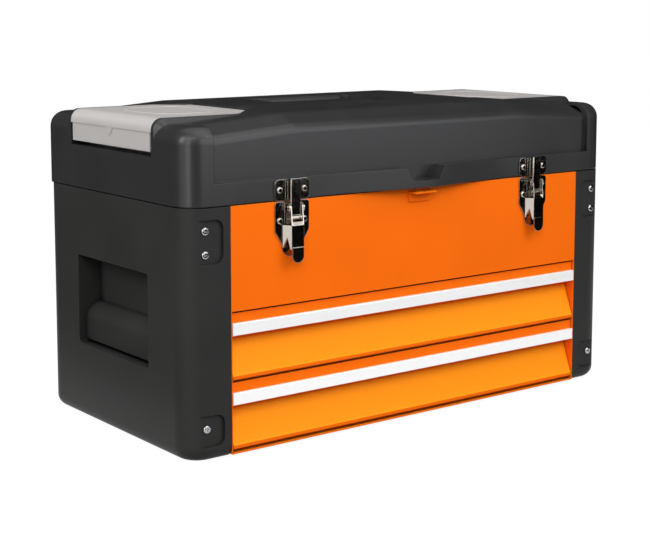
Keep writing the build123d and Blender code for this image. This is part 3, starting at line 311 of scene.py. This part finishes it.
RIB = 1.2            # width of a rib, mm
OVAL_X = 34.0        # half sizes of the oval, mm
OVAL_Y = 46.0
OVAL_INWARD = 2.0    # from the middle of the cover towards the handle
OVAL_SINK = 0.1      # middle of the rib below the top of the cover
TAB_Y = 6.0          # half width of the tab
TAB_TIP = 2.0        # half width of its blunt tip
TAB_TOP = 12.3       # top of the tab below the top of the cover
TAB_DROP = 8.0
ROUNDED = [(-1, -0.6), (-0.6, -1), (0.6, -1), (1, -0.6), (1, 0.6), (0.6, 1), (-0.6, 1), (-1, 0.6)]
for side, end in ((-1, "left"), (1, "right")):
    low, high = [Vector(corner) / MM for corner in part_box(f"bin_cover_{end}")]
    y, top = (low.y + high.y) / 2, high.z
    x = (low.x + high.x) / 2 - side * OVAL_INWARD
    oval = [(x + u * OVAL_X, y + v * OVAL_Y, top - OVAL_SINK) for u, v in ROUNDED]
    moulded_rib(f"cover_oval_rib_{end}", oval, True, f"bin_cover_{end}", RIB)
    face = (high.x if side > 0 else low.x) - side * RIB / 2
    tab_top = top - TAB_TOP
    tip = tab_top - TAB_DROP
    edge = [(-TAB_Y, tab_top), (-TAB_TIP, tip), (TAB_TIP, tip), (TAB_Y, tab_top)]
    tab = [(face, y + across, z) for across, z in edge]
    moulded_rib(f"cover_tab_rib_{end}", tab, False, f"bin_cover_{end}", RIB)
print("ribs: 4")

# %% [markdown]
# ## Table and light
# A product on white needs a white floor that still takes a shadow. To the camera and to
# reflections the floor is mostly its own even white, so it reads as paper. To the light it is
# dark, so it throws little back up at the black panels. One broad soft light hangs overhead,
# two stand in front, one at the left, and one behind so that the back isn't lost.

# %% Floor
def floor_material():
    """White paper: what the eye and reflections see is mostly an even white."""
    values = {"Roughness": 0.9, "Specular IOR Level": 0.0}
    material, tree, shader, _ = new_material("white paper floor", values)
    glow = node(tree, "ShaderNodeEmission", {"Color": colour("#FFFFFF"), "Strength": 1.07})
    seen = seen_directly(tree)
    paper = node(tree, "ShaderNodeMapRange", {"To Min": 0.12, "To Max": 0.9}, {"Value": seen})
    tree.links.new(paper.outputs["Result"], shader.inputs["Base Color"])
    share = node(tree, "ShaderNodeMath", {1: 0.86}, {0: seen}, operation="MULTIPLY")
    mix = node(
        tree, "ShaderNodeMixShader",
        links={0: share.outputs[0], 1: shader.outputs["BSDF"], 2: glow.outputs["Emission"]},
    )
    output = [n for n in tree.nodes if n.bl_idname == "ShaderNodeOutputMaterial"][0]
    tree.links.new(mix.outputs["Shader"], output.inputs["Surface"])
    return material


floor_mesh = bpy.data.meshes.new("floor")
shape = bmesh.new()
bmesh.ops.create_grid(shape, x_segments=1, y_segments=1, size=6.0)
shape.to_mesh(floor_mesh)
shape.free()
floor = bpy.data.objects.new("floor", floor_mesh)
bpy.context.scene.collection.objects.link(floor)
floor_mesh.materials.append(floor_material())
print("floor:", round(floor.dimensions.x, 1), "m across")

# %% World and lamps
world = bpy.data.worlds.new("white studio")
bpy.context.scene.world = world
world.use_nodes = True
sky = world.node_tree
sky.nodes.clear()
level = node(sky, "ShaderNodeMapRange", {"To Min": 0.65}, {"Value": seen_directly(sky)})
links = {"Strength": level.outputs["Result"]}
white = node(sky, "ShaderNodeBackground", {"Color": colour("#FFFFFF")}, links)
node(sky, "ShaderNodeOutputWorld", links={"Surface": white.outputs["Background"]})


def soft_light(name, place, aim, size, watts):
    """A square soft light that looks at a point."""
    data = bpy.data.lights.new(name, "AREA")
    data.size = size
    data.energy = watts
    lamp = bpy.data.objects.new(name, data)
    lamp.location = place
    lamp.rotation_euler = (Vector(aim) - Vector(place)).to_track_quat("-Z", "Y").to_euler()
    bpy.context.scene.collection.objects.link(lamp)
    return lamp


middle = (0, 0, 0.15)
soft_light("overhead light", (0.1, -0.7, 1.8), middle, 1.5, 9)
soft_light("front light", (-1.0, -1.3, 1.0), middle, 0.8, 11)
soft_light("crease light", (0.45, -1.15, 1.0), middle, 0.7, 6)
soft_light("left light", (-1.8, 0.1, 1.0), middle, 1.0, 18)
soft_light("back light", (-0.9, 1.5, 1.1), middle, 1.0, 12)
print("lights: 5")

# %% [markdown]
# ## Cards that only reflections see
# Bright metal only looks like metal when it has something dark to mirror, so studios stand
# black cards around it. A bright card in front and a strip at the left put soft highlights on
# the lid and on its corner. None of them casts a shadow or shows to the camera.

# %% A card
def card(name, material, foot, turn, width, height, tilt=0.0):
    """A flat card on its foot line, upright unless tilted, that only reflections see."""
    stand = Matrix.Translation(foot) @ Matrix.Rotation(turn, 4, "Z") @ Matrix.Rotation(tilt, 4, "X")
    upright = Matrix.Translation((0, 0, height / 2)) @ Matrix.Rotation(QUARTER, 4, "X")
    shape = bmesh.new()
    bmesh.ops.create_grid(shape, x_segments=1, y_segments=1, size=0.5)
    matrix = stand @ upright @ Matrix.Diagonal((width, height, 1, 1))
    bmesh.ops.transform(shape, matrix=matrix, verts=shape.verts)
    mesh = bpy.data.meshes.new(name)
    shape.to_mesh(mesh)
    shape.free()
    mesh.materials.append(material)
    made = bpy.data.objects.new(name, mesh)
    bpy.context.scene.collection.objects.link(made)
    made.visible_camera = False
    made.visible_diffuse = False
    made.visible_transmission = False
    made.visible_shadow = False
    return made


QUARTER = math.pi / 2

# %% Black cards
values = {"Roughness": 0.9, "Specular IOR Level": 0.0}
card_black, _, card_shader, _ = new_material("black card", values)
card_shader.inputs["Base Color"].default_value = colour("#101010")
card("front card", card_black, (0.3, -1.05, 0.0), 0.0, 3.6, 1.1)
card("back card", card_black, (0.0, 1.15, 0.0), 0.0, 3.2, 2.2)
card("left back card", card_black, (-1.05, 0.6, 0.0), QUARTER, 1.2, 2.2)
card("left front card", card_black, (-1.05, -1.2, 0.0), QUARTER, 0.7, 1.1)
card("right card", card_black, (1.25, 0.0, 0.0), QUARTER, 2.4, 2.2)
card("floor card", card_black, (0.4, -1.05, 0.002), 0.0, 3.6, 0.55, -QUARTER)
card("side floor card", card_black, (-1.05, 0.55, 0.002), -QUARTER, 1.3, 0.72, -QUARTER)
print("dark cards: 7")


# %% Bright cards
def glowing(name, hex_text, low_glow, high_glow):
    """A material that glows more from 350 to 850 mm up."""
    material, tree, shader, place = new_material(name, {"Roughness": 0.9})
    shader.inputs["Emission Color"].default_value = colour(hex_text)
    height = node(tree, "ShaderNodeSeparateXYZ", links={"Vector": place}).outputs["Z"]
    glow = spread(tree, height, low_glow, high_glow, start=0.35, end=0.85)
    tree.links.new(glow, shader.inputs["Emission Strength"])
    return material


front_glow = glowing("blue grey front card", "#F2F5FC", 1.9, 3.0)
card("blue grey front card", front_glow, (0.325, -1.0, 0.135), 0.0, 1.35, 0.725)
strip_glow = glowing("left strip", "#FFFBF4", 3.5, 3.5)
card("left strip", strip_glow, (-1.04, -0.61, 0.0), QUARTER, 0.3, 1.3)
print("bright cards: 2")

# %% [markdown]
# ## Camera
# The camera stands at the front left, a little above the lid, and looks down slightly. Its
# place, turn and focal length come from the vanishing points of the box's own edges.

# %% Camera
camera_data = bpy.data.cameras.new("camera")
camera_data.sensor_width = 36.0
camera_data.lens = 81.02
camera_data.shift_y = -0.15
camera = bpy.data.objects.new("camera", camera_data)
camera.location = Vector((-916.2, -1184.9, 403.2)) * MM
camera_turn = math.radians(37.256)
camera_tilt = math.radians(6.878)
camera.rotation_euler = (math.pi / 2 - camera_tilt, 0, -camera_turn)
camera_data.clip_start = 0.05
bpy.context.scene.collection.objects.link(camera)
bpy.context.scene.camera = camera
bpy.context.scene.view_settings.view_transform = "Standard"
print("camera:", [round(value, 3) for value in camera.location])
